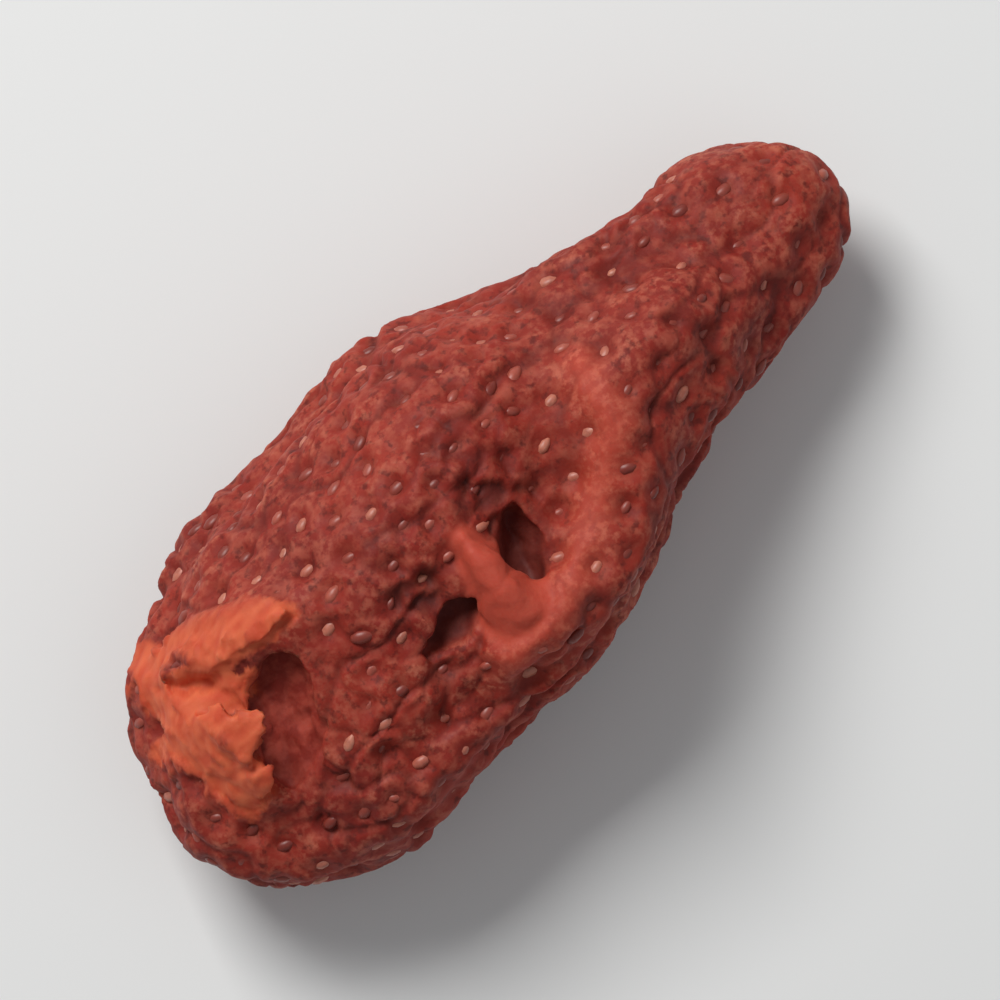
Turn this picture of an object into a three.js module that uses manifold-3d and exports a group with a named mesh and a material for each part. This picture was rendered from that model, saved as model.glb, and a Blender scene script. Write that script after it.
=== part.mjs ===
// A dried strawberry: one piece of shrunken fruit, lying on the flat that it dried on.
// Millimetres. +X runs along the berry from the blunt stem end to the tip, +Y is its left
// side seen from above, +Z is up, and the origin is under the middle of the berry at its base.

import * as THREE from "three";
import { ImprovedNoise } from "three/addons/math/ImprovedNoise.js";
import { mergeVertices } from "three/addons/utils/BufferGeometryUtils.js";
import Module from "manifold-3d";

const HALF_LENGTH = 16.5; // stem end to tip is twice this
const FLAT_LEVEL = -0.08; // what hangs below this level is cut off, which leaves the flat it rests on
const MESH_DETAIL = 16; // cuts along each edge of the icosahedron that the body's mesh starts as
const LEAN = 0.2; // how far the top leans to the right for each millimetre of height
const LUMP_SIZE = 5.5; // spacing of the soft lumps left by uneven shrinking
const LUMP_HEIGHT = 0.32;
const FADE_RATE = 1.2; // how sharply a fold dies away beside its path
const FOLD_STEPS = 6; // straight steps between two points of a fold's path
const WELD_DISTANCE = 1e-4; // corners closer than this are one corner

// The body's size along its length: station (-1 at the stem end, 1 at the tip), then the
// middle of the section across and up, and its half width and half height before the ends
// round them off.
const STATIONS = [
  [-1.0, -1.5, 4.3, 11.0, 6.8],
  [-0.8, -1.0, 4.5, 9.1, 6.2],
  [-0.6, -0.65, 4.9, 8.3, 6.2],
  [-0.3, -0.1, 5.2, 7.15, 6.0],
  [0.0, 0.65, 5.2, 6.85, 5.6],
  [0.25, 0.8, 4.8, 5.75, 5.1],
  [0.5, 1.45, 4.4, 5.05, 4.7],
  [0.75, 1.6, 4.1, 5.05, 4.6],
  [1.0, 1.2, 3.8, 6.7, 5.3],
];

// Folds of the shrunken skin. Each follows a path of [along, degrees round the section],
// with 0 degrees on the left, 90 on top, 180 on the right and 270 underneath. A height below
// zero is a groove, above zero a ridge, and reach is how far it spreads to each side.
const FOLDS = [
  // the ridge that curls round the sunken middle of the top
  { path: [[9, 82], [6, 88], [4.2, 108], [2.4, 124], [-0.4, 128], [-2.4, 124]], reach: 1.7, height: 0.95 },
  // the sunken middle
  { path: [[1.4, 96], [-1.5, 104], [-4.6, 108]], reach: 3.1, height: -1.25 },
  // the crease between that ridge and the right flank, running back to the stem end
  { path: [[-8.6, 118], [-5.6, 124], [-3, 133], [0.6, 146], [5, 152]], reach: 1.0, height: -0.65 },
  // the dip round the stem scar
  { path: [[-8.6, 82], [-10.8, 96], [-12.6, 112]], reach: 2.3, height: -0.75 },
  // the torn lips of the stem hollow: on its left, then on its stem side
  { path: [[-13.6, 24], [-11, 49], [-8.3, 58]], reach: 0.9, height: 0.6 },
  { path: [[-13.2, 56], [-12.8, 78], [-13, 98]], reach: 0.8, height: 0.5 },
  // the tongue of skin between the two splits
  { path: [[-0.9, 121], [-1.5, 108], [-2, 95]], reach: 0.8, height: 0.5 },
  // a low swelling on the left of the top
  { path: [[-9, 62], [-4, 60], [2, 58]], reach: 2.6, height: 0.4 },
  // the left shoulder falls in a little before the tip
  { path: [[6, 40], [10, 62], [13, 80]], reach: 1.6, height: -0.35 },
  { path: [[8, 22], [12, 30], [15, 45]], reach: 1.5, height: 0.3 },
  // folds of the right flank
  { path: [[-13, 170], [-9, 158], [-4, 152]], reach: 1.2, height: -0.6 },
  { path: [[-8, 186], [-2, 172], [4, 178], [8, 170]], reach: 1.3, height: -0.8 },
  { path: [[-12, 202], [-6, 207], [0, 197], [4, 204]], reach: 1.6, height: 0.45 },
  { path: [[3, 204], [8, 190], [12, 198]], reach: 1.1, height: -0.55 },
  { path: [[-10, 226], [-4, 217], [2, 229]], reach: 1.2, height: -0.65 },
  // folds of the left flank
  { path: [[-12, 16], [-8, 2], [-3, -3]], reach: 1.2, height: -0.55 },
  { path: [[-2, 8], [4, -7], [10, -3]], reach: 1.3, height: -0.6 },
  { path: [[-9, -20], [-2, -31], [4, -21]], reach: 1.6, height: 0.4 },
  { path: [[-13, -36], [-7, -52], [0, -43]], reach: 1.2, height: -0.65 },
  { path: [[2, -52], [7, -38], [12, -45]], reach: 1.1, height: -0.55 },
  // puckers across the left shoulder
  { path: [[3.2, 66], [4.6, 44], [4, 20]], reach: 1.2, height: -0.3 },
  { path: [[-6.2, 60], [-7.6, 38], [-6.6, 14]], reach: 1.2, height: -0.3 },
  // puckers that run into the stem end
  { path: [[-16.2, 60], [-14.6, 32], [-12.4, 26]], reach: 1.0, height: -0.55 },
  { path: [[-16.2, 150], [-14.8, 168], [-12.8, 176]], reach: 1.0, height: -0.5 },
  { path: [[-16.2, 205], [-15, 215], [-12.6, 222]], reach: 1.0, height: -0.6 },
  { path: [[-16.2, 300], [-15, 302], [-12.4, 308]], reach: 1.1, height: -0.6 },
  // the tip is drawn in on two sides
  { path: [[15.8, 120], [13, 132], [10.5, 140]], reach: 1.1, height: -0.5 },
  { path: [[15.6, 290], [13, 296], [10, 290]], reach: 1.2, height: -0.5 },
];

// What tore open when the stem was pulled out and the skin shrank. Each pocket is cut with a
// lens laid on the skin: the lens's middle seen from above, its half length, half width and
// half depth, the way it points and how far it rolls to its side (degrees), and how far its
// middle lies under the skin.
const POCKETS = [
  // the hollow that the stem left
  { at: [-10.7, -0.8], half: [2.8, 1.3, 2.6], points: 50, roll: 14, under: 0.4 },
  // the two splits beside the tongue of skin
  { at: [-0.5, -1.7], half: [1.8, 0.75, 1.6], points: 66, roll: -14, under: 0.2 },
  { at: [-3.8, -2.1], half: [1.6, 0.65, 1.4], points: 12, roll: 12, under: 0.2 },
];

const wasm = await Module();
wasm.setup();

const { clamp, degToRad } = THREE.MathUtils;

// Smooth values between the stations: middle across, middle up, half width, half height.
const sections = new THREE.CubicInterpolant(
  STATIONS.map(([station]) => station),
  STATIONS.flatMap(([, ...sizes]) => sizes),
  4,
);

// The place on the smooth body at a station and an angle round the section.
function bodyPoint(station, angle) {
  const [middleY, middleZ, halfWidth, halfHeight] = sections.evaluate(station);
  const rounding = Math.sqrt(Math.max(0, 1 - station * station));
  const rise = rounding * halfHeight * Math.sin(angle);
  const across = rounding * halfWidth * Math.cos(angle) - LEAN * rise;
  return new THREE.Vector3(station * HALF_LENGTH, middleY + across, middleZ + rise);
}

// The path of a fold as short straight steps over the smooth body.
function foldPath(path) {
  const points = path.map(([along, degrees]) => bodyPoint(along / HALF_LENGTH, degToRad(degrees)));
  return new THREE.CatmullRomCurve3(points).getPoints(FOLD_STEPS * (path.length - 1));
}

function distanceToPath(point, path) {
  const step = new THREE.Line3();
  const nearest = new THREE.Vector3();
  let least = Infinity;
  for (let i = 1; i < path.length; i += 1) {
    step.set(path[i - 1], path[i]).closestPointToPoint(point, true, nearest);
    least = Math.min(least, nearest.distanceTo(point));
  }
  return least;
}

// The shrunken body before its tears: an icosahedron's even faces carried onto the sections,
// then pushed in and out along their own normals by the folds and lumps.
function bodyGeometry() {
  const geometry = welded(new THREE.IcosahedronGeometry(1, MESH_DETAIL));
  const place = geometry.attributes.position;
  for (let i = 0; i < place.count; i += 1) {
    const station = clamp(place.getX(i), -1, 1);
    const point = bodyPoint(station, Math.atan2(place.getZ(i), place.getY(i)));
    place.setXYZ(i, point.x, point.y, point.z);
  }
  geometry.computeVertexNormals();

  const noise = new ImprovedNoise();
  const folds = FOLDS.map((fold) => ({ ...fold, path: foldPath(fold.path) }));
  const point = new THREE.Vector3();
  const normal = new THREE.Vector3();
  for (let i = 0; i < place.count; i += 1) {
    point.fromBufferAttribute(place, i);
    normal.fromBufferAttribute(geometry.attributes.normal, i);
    let push = LUMP_HEIGHT * noise.noise(point.x / LUMP_SIZE, point.y / LUMP_SIZE, point.z / LUMP_SIZE);
    for (const { path, reach, height } of folds) {
      push += height * Math.exp(-FADE_RATE * (distanceToPath(point, path) / reach) ** 2);
    }
    point.addScaledVector(normal, push);
    place.setXYZ(i, point.x, point.y, point.z);
  }
  geometry.deleteAttribute("normal");
  return geometry;
}

// A geometry with nothing left but places, and the corners that its faces share merged.
function welded(geometry) {
  geometry.deleteAttribute("normal");
  geometry.deleteAttribute("uv");
  return mergeVertices(geometry, WELD_DISTANCE);
}

function solidFrom(geometry) {
  const vertProperties = geometry.attributes.position.array;
  const triVerts = new Uint32Array(geometry.index.array);
  return new wasm.Manifold(new wasm.Mesh({ numProp: 3, vertProperties, triVerts }));
}

function geometryFrom(solid) {
  const { vertProperties, triVerts } = solid.getMesh();
  return new THREE.BufferGeometry()
    .setAttribute("position", new THREE.BufferAttribute(vertProperties, 3))
    .setIndex(new THREE.BufferAttribute(triVerts, 1));
}

// The lens that cuts a pocket, square to the skin there before it is rolled.
function lensSolid({ at: [x, y], half, points, roll, under }, body) {
  const highAbove = new THREE.Vector3(x, y, 2 * HALF_LENGTH);
  const [skin] = new THREE.Raycaster(highAbove, new THREE.Vector3(0, 0, -1)).intersectObject(body);
  const up = skin.face.normal;
  const heading = degToRad(points);
  const along = new THREE.Vector3(Math.cos(heading), Math.sin(heading), 0).projectOnPlane(up).normalize();
  const across = new THREE.Vector3().crossVectors(up, along);

  const geometry = new THREE.SphereGeometry(1, 18, 12).scale(...half);
  geometry.rotateX(degToRad(roll));
  geometry.translate(0, 0, -under);
  geometry.applyMatrix4(new THREE.Matrix4().makeBasis(along, across, up).setPosition(skin.point));
  return solidFrom(welded(geometry));
}

// A box that holds everything below the level that the berry rests on.
function belowFlat() {
  const size = 3 * HALF_LENGTH;
  return solidFrom(welded(new THREE.BoxGeometry(size, size, size).translate(0, 0, FLAT_LEVEL - size / 2)));
}

function driedStrawberry() {
  const smooth = bodyGeometry();
  const body = new THREE.Mesh(smooth);
  let solid = solidFrom(smooth).subtract(belowFlat());
  for (const pocket of POCKETS) solid = solid.subtract(lensSolid(pocket, body));
  const geometry = geometryFrom(solid);
  geometry.computeBoundingBox();
  const { min, max } = geometry.boundingBox;
  geometry.translate(-(min.x + max.x) / 2, -(min.y + max.y) / 2, -min.z);

  const driedFlesh = new THREE.MeshStandardMaterial({ color: 0x94352a, roughness: 0.55, metalness: 0 });
  const mesh = new THREE.Mesh(geometry, driedFlesh);
  mesh.name = "dried_strawberry";
  return mesh;
}

const strawberry = new THREE.Group();
strawberry.add(driedStrawberry());

export default strawberry;
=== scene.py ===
"""A dried strawberry on a pale table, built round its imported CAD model.

The berry is one fruit with its seeds grown into it. The script follows it as it is put
together: the stage, the body with its torn lips and its finish, and then the seeds.
"""

import math
import random

import bmesh
import bpy
import numpy as np
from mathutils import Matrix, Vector, kdtree, noise
from mathutils.bvhtree import BVHTree


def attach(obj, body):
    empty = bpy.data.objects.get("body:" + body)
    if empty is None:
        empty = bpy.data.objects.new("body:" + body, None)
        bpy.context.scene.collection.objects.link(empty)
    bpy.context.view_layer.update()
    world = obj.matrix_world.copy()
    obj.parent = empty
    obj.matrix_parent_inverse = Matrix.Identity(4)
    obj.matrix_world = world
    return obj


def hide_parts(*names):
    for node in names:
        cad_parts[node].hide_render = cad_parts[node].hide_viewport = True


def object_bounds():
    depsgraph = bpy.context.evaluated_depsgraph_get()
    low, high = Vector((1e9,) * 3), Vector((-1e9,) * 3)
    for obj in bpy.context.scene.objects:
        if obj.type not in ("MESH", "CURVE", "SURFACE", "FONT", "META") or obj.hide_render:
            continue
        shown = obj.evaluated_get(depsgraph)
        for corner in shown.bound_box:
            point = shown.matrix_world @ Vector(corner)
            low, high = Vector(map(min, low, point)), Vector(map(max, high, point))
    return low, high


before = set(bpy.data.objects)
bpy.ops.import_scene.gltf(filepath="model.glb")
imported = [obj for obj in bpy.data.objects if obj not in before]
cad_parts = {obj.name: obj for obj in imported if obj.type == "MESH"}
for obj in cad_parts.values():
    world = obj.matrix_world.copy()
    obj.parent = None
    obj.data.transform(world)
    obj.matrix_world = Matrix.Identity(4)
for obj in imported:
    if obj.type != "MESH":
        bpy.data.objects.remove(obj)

cad_box = [list(corner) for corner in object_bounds()]

# ---------------------------------------------------------------------------
# Camera, lights and table
# A long lens straight above the berry, which lies with its tip to the upper right, on a
# pale matte table top under one broad soft light from its left side and a weak sky.
# ---------------------------------------------------------------------------
MM = 0.001
BERRY_TURN = math.radians(40.5)     # the tip points this far up from the picture's right
PICTURE_WIDTH = 35.0 * MM
LENS_MM = 300
SENSOR_MM = 36
TABLE_SIZE = 0.6
TABLE_COLOUR = "e4e5e5"
TABLE_ROUGHNESS = 0.75
# Each lamp's place and size in metres, its power in watts and its colour.
LAMPS = {
    "soft_window": (Vector((0.02, 0.24, 0.27)), 0.16, 1.19, "fffefc"),
    "fill": (Vector((0.12, -0.20, 0.30)), 0.3, 0.08, "f4f8ff"),
}
SKY_COLOUR = "f4f5f6"
SKY_STRENGTH = 0.29


def linear(hex_colour):
    """The scene-linear colour, with alpha, of an sRGB hex value such as "c8a070"."""
    channels = [int(hex_colour[i:i + 2], 16) / 255 for i in (0, 2, 4)]
    return [c / 12.92 if c <= 0.04045 else ((c + 0.055) / 1.055) ** 2.4 for c in channels] + [1]


def node(tree, kind, inputs=None, **settings):
    """Adds a node. settings are its own properties. inputs name or number its inputs and give
    each one the socket to join, a hex colour or a plain value."""
    made = tree.nodes.new(kind)
    for name, value in settings.items():
        setattr(made, name, value)
    for name, value in (inputs or {}).items():
        if isinstance(value, bpy.types.NodeSocket):
            tree.links.new(value, made.inputs[name])
        else:
            made.inputs[name].default_value = linear(value) if isinstance(value, str) else value
    return made


def new_material(name):
    """An empty node material and its tree."""
    material = bpy.data.materials.new(name)
    material.use_nodes = True
    material.node_tree.nodes.clear()
    return material, material.node_tree


scene = bpy.context.scene
scene.view_settings.view_transform = "Standard"
centre = (Vector(cad_box[0]) + Vector(cad_box[1])) / 2

camera_data = bpy.data.cameras.new("camera")
camera_data.lens = LENS_MM
camera_data.sensor_width = SENSOR_MM
camera = bpy.data.objects.new("camera", camera_data)
camera.location = centre + Vector((0, 0, PICTURE_WIDTH * LENS_MM / SENSOR_MM))
camera.rotation_euler = (0, 0, -BERRY_TURN)
scene.collection.objects.link(camera)
scene.camera = camera

for name, (lamp_at, size, power, lamp_colour) in LAMPS.items():
    light = bpy.data.lights.new(name, "AREA")
    light.size = size
    light.energy = power
    light.color = linear(lamp_colour)[:3]
    lamp = bpy.data.objects.new(name, light)
    lamp.location = lamp_at
    lamp.rotation_euler = (centre - lamp_at).to_track_quat("-Z", "Y").to_euler()
    scene.collection.objects.link(lamp)

sky = bpy.data.worlds.new("soft_sky")
sky.use_nodes = True
background = sky.node_tree.nodes["Background"]
background.inputs["Color"].default_value = linear(SKY_COLOUR)
background.inputs["Strength"].default_value = SKY_STRENGTH
scene.world = sky

# Matte laminate, pressed smooth: it has no shine or pattern and shows only the soft shadow.
table_material, tree = new_material("pale_matte_table")
shader = node(tree, "ShaderNodeBsdfPrincipled",
              {"Base Color": TABLE_COLOUR, "Roughness": TABLE_ROUGHNESS})
node(tree, "ShaderNodeOutputMaterial", {"Surface": shader.outputs[0]})

bm = bmesh.new()
bmesh.ops.create_grid(bm, x_segments=1, y_segments=1, size=TABLE_SIZE / 2)
table_mesh = bpy.data.meshes.new("table_top")
bm.to_mesh(table_mesh)
bm.free()
table_mesh.materials.append(table_material)
table_top = bpy.data.objects.new("table_top", table_mesh)
scene.collection.objects.link(table_top)

# ---------------------------------------------------------------------------
# The body
# One shrunken fruit. Its flesh lost most of its water, so the skin sank between the seeds
# and gathered in folds, and it tore where the stem was pulled out and along one side. The
# sizes of this section are in millimetres, and the mesh is scaled to metres at its end.
# ---------------------------------------------------------------------------
CELL = 0.14                 # size of the remesh's cells
SMOOTHINGS = 6
TOP_FROM = 4.5              # skin higher than this faces up rather than out
TEARS_END = 4               # all tears lie nearer the stem than this
STEM_PART_END = -6          # the stem hollow lies before this and the splits after it
NOTCH_END = -9

# Tears are ovals seen from above: their middle, their half length and half width, the degrees
# that they point from the berry's line, how ragged they are and how far their floor came up.
HOLLOW = {"at": (-10.9, -0.9), "half": (3.2, 1.9), "points": 50, "ragged": 0.34, "filled": 0.6}
SPLITS = [
    {"at": (-0.5, -1.7), "half": (1.9, 0.9), "points": 66, "ragged": 0.26, "filled": 0.3},
    {"at": (-3.8, -2.1), "half": (1.7, 0.8), "points": 12, "ragged": 0.26, "filled": 0.3},
]
TEARS = [HOLLOW, *SPLITS]
FILLED_BELOW = 0.5          # the floor comes up only where it lies deeper than this
NOTCH = {"at": (-12.2, 1.95), "half": (1.3, 0.55), "points": -42}    # between the lip and the teeth
NOTCH_DEPTH = 0.85
TORN_GAP = {"at": (-12.2, 1.5), "half": (1.9, 1.1), "points": -30}   # bare flesh round the notch
TORN_RIM = [(-13.1, 3.9), (-13.6, 2.8), (-13.5, 1.3)]      # bare flesh that joins the lip to the teeth
TORN_RIM_REACH = 0.42
RIDGE = [(5.1, 1.6), (4.6, -0.6), (2.1, -2.5), (-0.6, -4.0), (-3.2, -4.4)]    # smooth fold by the splits
RIDGE_REACH = 0.8
SHADED_SUNKEN_SKIN = [(0.0, 0.1, 1.9), (-4.3, -0.6, 1.2)]               # sunken skin whose colour is painted darker as painted shade: x, y and reach
SMOOTH_SHOULDER = (2.6, -2.6, 9.5)                         # the tight skin at the ridge's top

# Torn flesh that stands up round the tears: a middle line of (x, y, height over the skin
# that was there), the half width along it, the thickness and the size of the teeth on its
# free edges.
LIPS = [
    # the long lip on the left of the stem hollow
    {"line": [(-13.9, 2.6, -0.7), (-12.6, 3.0, 0.1), (-10.8, 2.8, 0.4), (-9.2, 2.3, 0.5),
              (-7.9, 1.8, 0.35)],
     "half_width": [0.6, 0.85, 0.85, 0.65, 0.12], "thick": 0.5, "tooth": 0.2},
    # three torn teeth on its stem side, which bend over the hollow
    {"line": [(-14.8, 0.3, -0.7), (-13.9, 0.45, 0.2), (-12.7, 0.6, 0.65), (-11.8, 0.75, 0.55)],
     "half_width": [0.8, 0.65, 0.5, 0.15], "thick": 0.45, "tooth": 0.22},
    {"line": [(-14.9, -0.9, -0.7), (-13.7, -0.6, 0.35), (-12.4, -0.45, 0.7), (-11.2, -0.6, 0.45)],
     "half_width": [0.9, 0.9, 0.8, 0.25], "thick": 0.45, "tooth": 0.3},
    {"line": [(-14.6, -2.2, -0.7), (-13.7, -1.95, 0.25), (-12.8, -1.95, 0.55), (-12.0, -2.3, 0.35)],
     "half_width": [0.8, 0.75, 0.6, 0.2], "thick": 0.45, "tooth": 0.25},
]
# The tongue of unbroken skin between the two splits. Its sides bend down where it is rooted.
TONGUE = {"line": [(-1.9, -4.8, -0.5), (-1.9, -3.8, 0.5), (-1.95, -2.5, 0.7), (-1.9, -1.2, 0.55),
                   (-1.8, 0.0, 0.15)],
          "half_width": [2.0, 1.5, 1.0, 0.55, 0.12], "thick": 0.6, "tooth": 0.05, "sides_down": 1.5}
SHEET_STEPS = (36, 12)      # faces along and across a lip or the tongue
SHEET_CURL = 0.25           # how far a sheet's middle arches up at its free end
SHEET_WAVE = 0.1

berry = bmesh.new()
berry.from_mesh(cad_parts["dried_strawberry"].data)
bmesh.ops.remove_doubles(berry, verts=berry.verts, dist=1e-6)
bmesh.ops.scale(berry, vec=(1 / MM,) * 3, verts=berry.verts)
skin_tree = BVHTree.FromBMesh(berry)


def in_oval(oval, x, y, wider=1.0):
    """Where a place seen from above is in an oval: 0 at its middle, 1 on its edge."""
    turn = math.radians(oval["points"])
    dx, dy = x - oval["at"][0], y - oval["at"][1]
    along = (dx * math.cos(turn) + dy * math.sin(turn)) / (oval["half"][0] * wider)
    across = (dy * math.cos(turn) - dx * math.sin(turn)) / (oval["half"][1] * wider)
    return math.hypot(along, across)


def from_line(points, places):
    """How far each place is, seen from above, from the line through points."""
    nearest = np.full(len(places), np.inf)
    for start, end in zip(points, points[1:]):
        run = np.subtract(end, start)
        offset = places[:, :2] - start
        share = np.clip(offset @ run / (run @ run), 0, 1)
        nearest = np.minimum(nearest, np.linalg.norm(offset - share[:, None] * run, axis=1))
    return nearest


def whole_skin(x_range, y_range):
    """A smooth surface through the skin of a patch of the top as it was before it tore, as a
    function of the place seen from above."""
    step, above, lowest = 0.4, 40, 4
    rows, heights = [], []
    for x in np.arange(*x_range, step):
        for y in np.arange(*y_range, step):
            hit = skin_tree.ray_cast(Vector((x, y, above)), Vector((0, 0, -1)))[0]
            in_a_tear = any(in_oval(tear, x, y, 1.15) < 1 for tear in TEARS)
            if hit is not None and not in_a_tear and hit.z > lowest:
                rows.append([1, x, y, x * x, x * y, y * y, x ** 3, y ** 3])
                heights.append(hit.z)
    fit = np.linalg.lstsq(np.array(rows), np.array(heights), rcond=None)[0]
    return lambda x, y: float(np.dot(fit, [1, x, y, x * x, x * y, y * y, x ** 3, y ** 3]))


def torn_sheet(lip, skin, seed):
    """A bmesh of one tapered sheet of flesh that grows out of the skin and ends free."""
    line = np.array(lip["line"])
    stations = np.linspace(0, 1, len(line))
    sheet = bmesh.new()
    bmesh.ops.create_grid(sheet, x_segments=SHEET_STEPS[0], y_segments=SHEET_STEPS[1], size=1)
    for vert in sheet.verts:
        s, t = (vert.co.x + 1) / 2, vert.co.y       # 0 to 1 along, -1 to 1 across
        x, y, rise = (np.interp(s, stations, line[:, i]) for i in range(3))
        ahead = [np.interp(min(s + 0.05, 1), stations, line[:, i]) for i in range(2)]
        behind = [np.interp(max(s - 0.05, 0), stations, line[:, i]) for i in range(2)]
        heading = Vector((ahead[0] - behind[0], ahead[1] - behind[1])).normalized()
        width = np.interp(s, stations, lip["half_width"])
        ragged = lip["tooth"] * noise.noise(Vector((s * 14, 3 * t, seed * 7.3))) * 2
        reach = t * width + math.copysign(ragged * abs(t) ** 2, t)
        x -= heading.y * reach
        y += heading.x * reach
        curl = SHEET_CURL * (1 - t * t) * s - lip.get("sides_down", 0) * t * t * (1 - s)
        wave = SHEET_WAVE * noise.noise(Vector((x * 1.3, y * 1.3, seed)))
        vert.co = (x, y, skin(x, y) + rise + curl + wave)
    lower = bmesh.ops.extrude_face_region(sheet, geom=sheet.faces[:], use_keep_orig=True)["geom"]
    lower_verts = [part for part in lower if isinstance(part, bmesh.types.BMVert)]
    bmesh.ops.translate(sheet, vec=(0, 0, -lip["thick"]), verts=lower_verts)
    bmesh.ops.recalc_face_normals(sheet, faces=sheet.faces)
    return sheet


stem_skin = whole_skin((-14.5, -6), (-4.5, 5))
side_skin = whole_skin((-6, 3), (-5, 2))
sheets = [torn_sheet(lip, stem_skin, seed) for seed, lip in enumerate(LIPS)]
sheets.append(torn_sheet(TONGUE, side_skin, 11))
lip_trees = [BVHTree.FromBMesh(sheet) for sheet in sheets[:-1]]
tongue_tree = BVHTree.FromBMesh(sheets[-1])

body_mesh = bpy.data.meshes.new("dried_body")
for sheet in sheets:
    sheet_mesh = bpy.data.meshes.new("sheet")
    sheet.to_mesh(sheet_mesh)
    berry.from_mesh(sheet_mesh)
    bpy.data.meshes.remove(sheet_mesh)
    sheet.free()
berry.to_mesh(body_mesh)
berry.free()

# One skin round the body and the sheets, with even cells.
body = bpy.data.objects.new("dried_body", body_mesh)
scene.collection.objects.link(body)
remesh = body.modifiers.new("even_cells", "REMESH")
remesh.mode = "VOXEL"
remesh.voxel_size = CELL
evaluated = body.evaluated_get(bpy.context.evaluated_depsgraph_get())
body_mesh = bpy.data.meshes.new_from_object(evaluated)
body.modifiers.clear()
body.data = body_mesh

# The remesh leaves small steps, which are evened out.
bm = bmesh.new()
bm.from_mesh(body_mesh)
for _ in range(SMOOTHINGS):
    bmesh.ops.smooth_vert(bm, verts=bm.verts, factor=0.5,
                          use_axis_x=True, use_axis_y=True, use_axis_z=True)
bm.to_mesh(body_mesh)
bm.free()


def read(source, what):
    """The three numbers of each vertex or normal in source, as rows."""
    values = np.empty(len(source) * 3)
    source.foreach_get(what, values)
    return values.reshape(-1, 3)


def noise_field(places, size, shift=0.0, stretch=(1, 1, 1)):
    """Smooth noise from about -1 to 1 whose lumps are size across, or longer by stretch."""
    scaled = places / (size * np.array(stretch)) + shift
    return np.array([noise.noise(Vector(row)) for row in scaled])


def crease_field(places, size, width, shift=0.0, stretch=(1, 1, 1)):
    """1 along the winding lines where the noise is zero, falling to 0 beside them."""
    field = noise_field(places, size, shift, stretch)
    return np.exp(-(field / width) ** 2)


def smooth_step(low, high, values):
    """0 below low, 1 above high and a smooth slope between."""
    t = np.clip((values - low) / (high - low), 0, 1)
    return t * t * (3 - 2 * t)


place = read(body_mesh.vertices, "co")
normal = read(body_mesh.vertex_normals, "vector")
on_top = (place[:, 2] > TOP_FROM) & (place[:, 0] < TEARS_END)

# The tears' edges are ragged, and their floors have shrunk up towards their mouths.
RAGGED_REACH = 1.7          # the raggedness dies out this far out, in ovals
RAGGED_SIZE = 1.1
for tear in TEARS:
    for i in np.flatnonzero(on_top):
        near = in_oval(tear, place[i, 0], place[i, 1])
        if near < RAGGED_REACH:
            push = noise.noise_vector(Vector(place[i]) / RAGGED_SIZE) * tear["ragged"]
            place[i, 0] += push.x * (RAGGED_REACH - near)
            place[i, 1] += push.y * (RAGGED_REACH - near)
            if near < 1:
                skin = stem_skin if tear is HOLLOW else side_skin
                depth = skin(place[i, 0], place[i, 1]) - place[i, 2]
                place[i, 2] += tear["filled"] * max(0, depth - FILLED_BELOW)
for i in np.flatnonzero(on_top & (place[:, 0] < NOTCH_END)):
    near = in_oval(NOTCH, place[i, 0], place[i, 1]) + 0.45 * noise.noise(Vector(place[i]) / 0.55)
    place[i, 2] -= NOTCH_DEPTH * (1 - smooth_step(0.0, 1.1, near))

# Which skin is torn flesh, and how far down inside a tear each place is, both from 0 to 1.
FLANK_SLANT = 0.4           # the bare flesh ends along a slanting line on the left flank ...
FLANK_FADE = (-1.2, 0.0)    # ... between these values of y + slant * x
rim_reach = from_line(TORN_RIM, place) - TORN_RIM_REACH
torn = np.zeros(len(place))
inside = np.zeros(len(place))
for i in np.flatnonzero(on_top & (place[:, 0] < STEM_PART_END)):
    spot = Vector(place[i])
    reach = min(found[3] for found in (tree.find_nearest(spot) for tree in lip_trees) if found[0])
    reach = min(reach, rim_reach[i])
    if in_oval(TORN_GAP, spot.x, spot.y) + 0.4 * noise.noise(spot / 0.7) < 1:
        reach = 0
    reach += 0.16 * noise.noise(spot / 0.5) + 0.1 * noise.noise(spot / 0.2)
    torn[i] = 1 - smooth_step(0.04, 0.3, reach)
    torn[i] *= 1 - smooth_step(*FLANK_FADE, spot.y + FLANK_SLANT * spot.x)
    if in_oval(HOLLOW, spot.x, spot.y) < 1.25:
        depth = stem_skin(spot.x, spot.y) - spot.z
        inside[i] = smooth_step(0.35, 1.1, depth) * (1 - torn[i])
in_split = np.zeros(len(place))
for tear in SPLITS:
    for i in np.flatnonzero(on_top & (place[:, 0] > STEM_PART_END)):
        if in_oval(tear, place[i, 0], place[i, 1]) < 1.3:
            depth = side_skin(place[i, 0], place[i, 1]) - place[i, 2]
            in_split[i] = max(in_split[i], smooth_step(0.35, 1.1, depth))
inside = np.maximum(inside, in_split)

# Where the tongue, the smooth ridge and the sunken skin that gets painted shade are, from 0 to 1.
tongue = np.zeros(len(place))
for i in np.flatnonzero(on_top & (np.abs(place[:, 0] + 1.3) < 3)):
    tongue[i] = 1 - smooth_step(0.1, 0.45, tongue_tree.find_nearest(Vector(place[i]))[3])
ridge = np.exp(-(from_line(RIDGE, place) / RIDGE_REACH) ** 2) * smooth_step(5.0, 7.0, place[:, 2])
sunken_and_shaded = np.zeros(len(place))
for x, y, reach in SHADED_SUNKEN_SKIN:
    away = np.hypot(place[:, 0] - x, place[:, 1] - y)
    sunken_and_shaded = np.maximum(sunken_and_shaded, 1 - smooth_step(0.45, 1.0, away / reach))
patches = smooth_step(-0.25, 0.2, noise_field(place, 0.75, 401.0))
sunken_and_shaded *= on_top * patches * (1 - tongue) * (1 - 0.8 * ridge)

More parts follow.
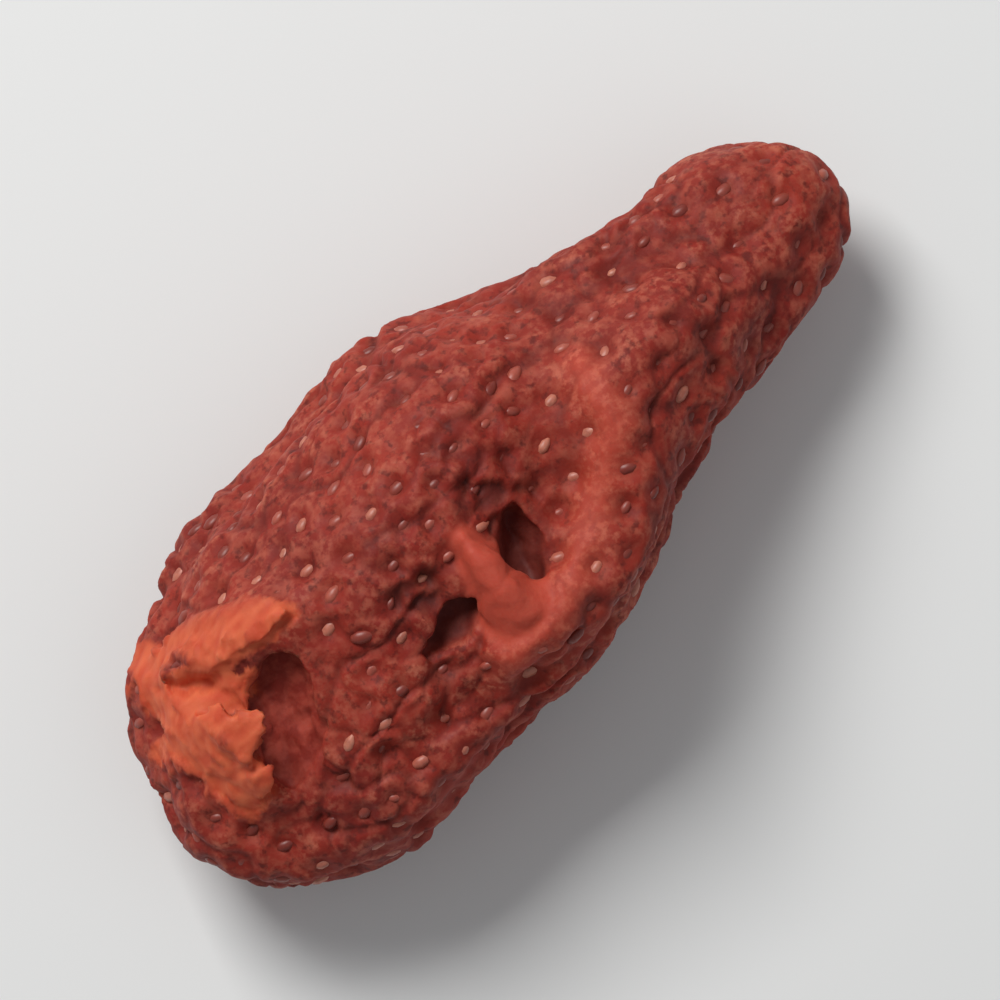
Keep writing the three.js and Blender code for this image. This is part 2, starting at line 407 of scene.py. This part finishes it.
# Where the seeds sit: unevenly apart, closer at the waist than at the tip, and none on bare
# flesh, on the tight skin of the tongue and the ridge or on the flat that the berry lies on.
SEED_GAP = 1.16
TIP_SEED_GAP = 1.4
TIP_FROM, TIP_TO = 2, 11
SEEDS_FROM = 0.3
chooser = random.Random(11)
order = list(range(len(place)))
chooser.shuffle(order)
seed_at = []
taken = np.empty((0, 3))
for i in order:
    bare = max(torn[i], inside[i], tongue[i]) > 0.02
    if bare or ridge[i] > 0.55 or place[i, 2] < SEEDS_FROM:
        continue
    if on_top[i] and any(in_oval(tear, place[i, 0], place[i, 1]) < 1.2 for tear in TEARS):
        continue
    gap = SEED_GAP + (TIP_SEED_GAP - SEED_GAP) * smooth_step(TIP_FROM, TIP_TO, place[i, 0])
    gap *= 1 + 0.3 * noise.noise(Vector(place[i]) / 4) + 0.35 * noise.noise(Vector(place[i]) / 0.9)
    if len(taken) == 0 or np.min(np.sum((taken - place[i]) ** 2, axis=1)) > gap * gap:
        seed_at.append(i)
        taken = np.vstack([taken, place[i]])

# The relief of the skin: a dimple round each seed, with folds and creases between them.
DIMPLE_DEPTH = 0.24
DIMPLE_REACH = 0.42
PILLOW_RISE = 0.05          # of the skin between the dimples
CREASE_DEPTH = 0.16
FLANK_CREASE_DEPTH = 0.18   # added on the flanks
CROSS_CREASE_DEPTH = 0.10
PUCKER_HEIGHT = 0.10
FLANK_WAVE = 0.24
RIDGE_RISE = 0.2
DUSKY_SINK = 0.3
GRAIN_HEIGHT = 0.030
FINE_GRAIN_HEIGHT = 0.016
FIBRE_HEIGHT = 0.05
TORN_EDGE_RISE = 0.09       # of the curled edge round the bare flesh
TORN_SINK = 0.07
RAY_HEIGHT = 0.14           # of the ribs that run down into a tear

seed_tree = kdtree.KDTree(len(seed_at))
for k, i in enumerate(seed_at):
    seed_tree.insert(Vector(place[i]), k)
seed_tree.balance()
dimple_depth = [chooser.uniform(0.4, 1.3) for _ in seed_at]
to_seed = np.empty(len(place))
depth_here = np.empty(len(place))
for i, row in enumerate(place):
    _, k, to_seed[i] = seed_tree.find(Vector(row))
    depth_here[i] = dimple_depth[k]

warp = np.stack([noise_field(place, 2.4, shift) for shift in (3.1, 17.7, 41.3)], axis=1)
bent = place + 0.7 * warp
dimple = np.exp(-(to_seed / DIMPLE_REACH) ** 2) * depth_here
pillow = smooth_step(0.2, 0.8, to_seed)
from_shoulder = np.linalg.norm(place - np.array(SMOOTH_SHOULDER), axis=1)
rough_patch = 0.45 + 0.55 * smooth_step(-0.25, 0.35, noise_field(place, 5.5, 211.0))
rough_patch *= 0.35 + 0.65 * smooth_step(1.0, 4.0, from_shoulder)
rough_patch *= 1 - 0.7 * ridge
long_creases = crease_field(bent, 2.3, 0.075, 5.0, (2.4, 1, 1))
cross_creases = crease_field(bent, 1.5, 0.08, 23.0)
flank = 1 - smooth_step(0.2, 0.75, normal[:, 2])
waves = noise_field(bent, 3.0, 301.0, (2.0, 1, 1))
puckers = noise_field(bent, 0.95, 61.0)
grain = noise_field(place, 0.42, 87.0)
fine_grain = noise_field(place, 0.24, 131.0)
fibres = noise_field(place + 0.3 * warp, 0.26, 7.0, (5, 1.1, 1.1))
turn_round = np.arctan2(place[:, 1] - HOLLOW["at"][1], place[:, 0] - HOLLOW["at"][0])
rays = np.array([noise.noise(Vector((3.2 * math.cos(a), 3.2 * math.sin(a), 0.3))) for a in turn_round])

skin_only = (1 - torn) * (1 - inside)
creases = (CREASE_DEPTH + FLANK_CREASE_DEPTH * flank) * long_creases + CROSS_CREASE_DEPTH * cross_creases
relief = skin_only * (1 - 0.7 * tongue) * (
    PILLOW_RISE * pillow - DIMPLE_DEPTH * dimple
    + rough_patch * (PUCKER_HEIGHT * puckers - creases)
    + FLANK_WAVE * flank * waves + RIDGE_RISE * ridge - DUSKY_SINK * sunken_and_shaded
)
relief += GRAIN_HEIGHT * grain + FINE_GRAIN_HEIGHT * fine_grain
relief += torn * (FIBRE_HEIGHT * fibres + TORN_EDGE_RISE * 4 * (1 - torn) - TORN_SINK)
relief += inside * RAY_HEIGHT * rays
relief *= 0.1 + 0.9 * smooth_step(0.05, 0.5, place[:, 2])       # the flat underside stays flat
place += normal * relief[:, None]
place[:, 2] = np.maximum(place[:, 2], 0.0)

body_mesh.vertices.foreach_set("co", (place * MM).ravel())
for polygon in body_mesh.polygons:
    polygon.use_smooth = True
body_mesh.update()

# What the finish reads, one number from 0 to 1 for each vertex.
for name, values in {
    "torn": torn,
    "inside": inside,
    # the tongue and the smooth ridge, whose colour is painted lighter as painted light
    "tongue": np.maximum(tongue, 0.75 * ridge * skin_only),
    # painted shade on the sunken skin and down in the splits
    "sunken_and_shaded": np.maximum(sunken_and_shaded * skin_only, in_split),
    "fibre": fibres * 0.5 + 0.5,
    # the dimples round the seeds, which get painted shade, partly a deeper red
    "dimple": np.clip(dimple, 0, 1) * skin_only,
    # painted shade in the creases, partly a deeper red
    "crease_shade_and_pigment": np.clip(0.8 * long_creases + 0.5 * cross_creases, 0, 1) * skin_only,
    # the raised skin, which gets the painted highlight
    "raised": smooth_step(-0.08, 0.16, relief) * skin_only,
}.items():
    layer = body_mesh.attributes.new(name, "FLOAT", "POINT")
    layer.data.foreach_set("value", values.astype(np.float32))


def layered(tree, colour, layers):
    """Lays colours over colour, a hex value or a socket, one by one. A layer is what shows it,
    the two values between which it comes up, how strong it gets and its own colour. A name
    shows it by one of the mesh's own numbers, and a size in mm by a grain of that size."""
    coords = node(tree, "ShaderNodeTexCoord").outputs["Object"]
    for shown_by, low, high, most, over in layers:
        if isinstance(shown_by, str):
            source = node(tree, "ShaderNodeAttribute", attribute_name=shown_by)
        else:
            source = node(tree, "ShaderNodeTexNoise", {
                "Vector": coords, "Scale": 1 / (shown_by * MM), "Detail": 3, "Roughness": 0.55})
        strength = node(tree, "ShaderNodeMapRange", {
            "Value": source.outputs["Fac"], "From Min": low, "From Max": high, "To Max": most})
        mix = node(tree, "ShaderNodeMix", {0: strength.outputs["Result"], 6: colour, 7: over},
                   data_type="RGBA")
        colour = mix.outputs[2]
    return colour


# Leathery dried strawberry skin. Its juice dried into it, so it is deep red, blotched and finely speckled,
# nearly matte, and light goes a little way in and comes out redder. Where it tore, the flesh is smoother
# and orange, and down in the tears it is a dull deep red. Painted light and shade are laid over these
# colours: a painted highlight on the raised skin, partly a pale sugar bloom; painted shade in the creases
# and the dimples, partly a deeper red, and on the sunken skin and down in the splits; painted light on the
# tongue and the ridge.
flesh_material, tree = new_material("leathery_dried_strawberry")
skin_colour = layered(tree, "7e231a", [
    (4.5, 0.38, 0.62, 1.0, "952e20"),
    (1.3, 0.50, 0.72, 0.7, "8c2016"),
    (0.75, 0.54, 0.68, 0.5, "ab5543"),
    (0.5, 0.50, 0.66, 0.55, "a44c3a"),
    (0.36, 0.54, 0.68, 0.75, "581610"),
])
# Painted highlight for the raised skin, partly a real pale sugar bloom, broken up by a fine grain.
sugar_bloom_and_highlight = layered(tree, skin_colour, [(0.28, 0.46, 0.64, 0.9, "b4624c")])
torn_colour = layered(tree, "c24d31", [
    ("fibre", 0.25, 0.75, 1.0, "d16643"),
    (0.9, 0.55, 0.80, 0.4, "b5442a"),
])
inside_colour = layered(tree, "842a20", [(0.6, 0.40, 0.62, 1.0, "a34436")])
colour = layered(tree, skin_colour, [
    # painted highlight, partly sugar bloom, on the raised skin
    ("raised", 0.0, 1.0, 1.0, sugar_bloom_and_highlight),
    # painted shade in the creases, partly a deeper red
    ("crease_shade_and_pigment", 0.2, 1.0, 0.5, "541510"),
    # painted shade in the dimples round the seeds, partly a deeper red
    ("dimple", 0.2, 1.0, 0.25, "5f1a14"),
    # painted light on the tongue and the ridge
    ("tongue", 0.0, 1.0, 0.8, "bd4c39"),
    ("torn", 0.0, 1.0, 1.0, torn_colour),
    ("inside", 0.0, 1.0, 1.0, inside_colour),
    # painted shade, broken into patches, on the sunken skin and down in the splits
    ("sunken_and_shaded", 0.0, 1.0, 0.7, "4a1712"),
])

SHEEN_PATCH, COARSE_WRINKLE, FINE_WRINKLE = 0.8, 0.4, 0.16      # sizes in mm
WRINKLE_HEIGHT = 0.05
coords = node(tree, "ShaderNodeTexCoord").outputs["Object"]
grain_of = {}
for size in (SHEEN_PATCH, COARSE_WRINKLE, FINE_WRINKLE):
    grain_of[size] = node(tree, "ShaderNodeTexNoise", {
        "Vector": coords, "Scale": 1 / (size * MM), "Detail": 3, "Roughness": 0.55}).outputs["Fac"]
roughness = node(tree, "ShaderNodeMapRange", {
    "Value": grain_of[SHEEN_PATCH], "From Min": 0.3, "From Max": 0.7, "To Min": 0.56, "To Max": 0.74})
wrinkles = node(tree, "ShaderNodeMath", {0: grain_of[FINE_WRINKLE], 1: grain_of[COARSE_WRINKLE]},
                operation="ADD")
bump = node(tree, "ShaderNodeBump", {
    "Height": wrinkles.outputs[0], "Strength": 0.35, "Distance": WRINKLE_HEIGHT * MM})
shader = node(tree, "ShaderNodeBsdfPrincipled", {
    "Base Color": colour, "Roughness": roughness.outputs["Result"], "Normal": bump.outputs[0],
    "IOR": 1.45, "Specular IOR Level": 0.3, "Subsurface Weight": 0.3,
    "Subsurface Radius": (1.0, 0.28, 0.16), "Subsurface Scale": 0.7 * MM})
node(tree, "ShaderNodeOutputMaterial", {"Surface": shader.outputs[0]})

body_mesh.materials.clear()
body_mesh.materials.append(flesh_material)
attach(body, "root")
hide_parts("dried_strawberry")

# ---------------------------------------------------------------------------
# The seeds
# Hard little nuts grown into the skin, one in each dimple. They dry hardly at all, so they
# keep their size, and they point more or less to the tip. Sizes are in millimetres.
# ---------------------------------------------------------------------------
SEED_LENGTH, SEED_WIDTH, SEED_THICKNESS = 0.84, 0.48, 0.4
SEED_SIZES = (0.72, 1.15)   # the smallest and the largest, against those measures
SEED_SEGMENTS, SEED_RINGS = 8, 5
SEED_SWING = 0.5            # how far a seed may turn from the berry's line, sideways and up
SEED_SINK = 0.02            # of a seed's middle below the dimple's floor ...
SEED_SINK_MORE = 0.12       # ... and of the deepest ones, added
TIP_TAPER = 0.55

seeds = bmesh.new()
tone_layer = seeds.verts.layers.float.new("tone")
for i in seed_at:
    up = Vector(normal[i]).normalized()
    ahead = Vector((1, chooser.uniform(-SEED_SWING, SEED_SWING), chooser.uniform(-SEED_SWING, SEED_SWING)))
    ahead = (ahead - ahead.project(up)).normalized()
    aside = up.cross(ahead)
    size = chooser.uniform(*SEED_SIZES)
    tone = chooser.random() ** 1.5
    sink = SEED_SINK + SEED_SINK_MORE * chooser.random() ** 2
    made = bmesh.ops.create_uvsphere(seeds, u_segments=SEED_SEGMENTS, v_segments=SEED_RINGS, radius=0.5)
    for vert in made["verts"]:
        along = vert.co.z
        taper = 1 - TIP_TAPER * max(0, along * 2) ** 1.6
        vert[tone_layer] = tone
        vert.co = (Vector(place[i]) - up * sink
                   + ahead * along * SEED_LENGTH * size
                   + aside * vert.co.x * SEED_WIDTH * size * taper
                   + up * vert.co.y * SEED_THICKNESS * size * taper) * MM
bmesh.ops.recalc_face_normals(seeds, faces=seeds.faces)
seeds_mesh = bpy.data.meshes.new("seeds")
seeds.to_mesh(seeds_mesh)
seeds.free()
for polygon in seeds_mesh.polygons:
    polygon.use_smooth = True
seeds_piece = bpy.data.objects.new("seeds", seeds_mesh)
scene.collection.objects.link(seeds_piece)

# Woody hull of a dried seed, grown smooth: it is a little glossier than the skin, so each
# seed catches a small light, and some are paler than others.
seed_material, tree = new_material("seed_hull")
seed_colour = layered(tree, "74261c", [
    ("tone", 0.0, 0.6, 1.0, "a24b3c"),
    ("tone", 0.6, 1.0, 1.0, "be7660"),
    (0.25, 0.45, 0.70, 0.5, "843c2e"),
])
shader = node(tree, "ShaderNodeBsdfPrincipled", {
    "Base Color": seed_colour, "Roughness": 0.42, "IOR": 1.5,
    "Subsurface Weight": 0.1, "Subsurface Scale": 0.3 * MM})
node(tree, "ShaderNodeOutputMaterial", {"Surface": shader.outputs[0]})
seeds_mesh.materials.append(seed_material)
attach(seeds_piece, "root")
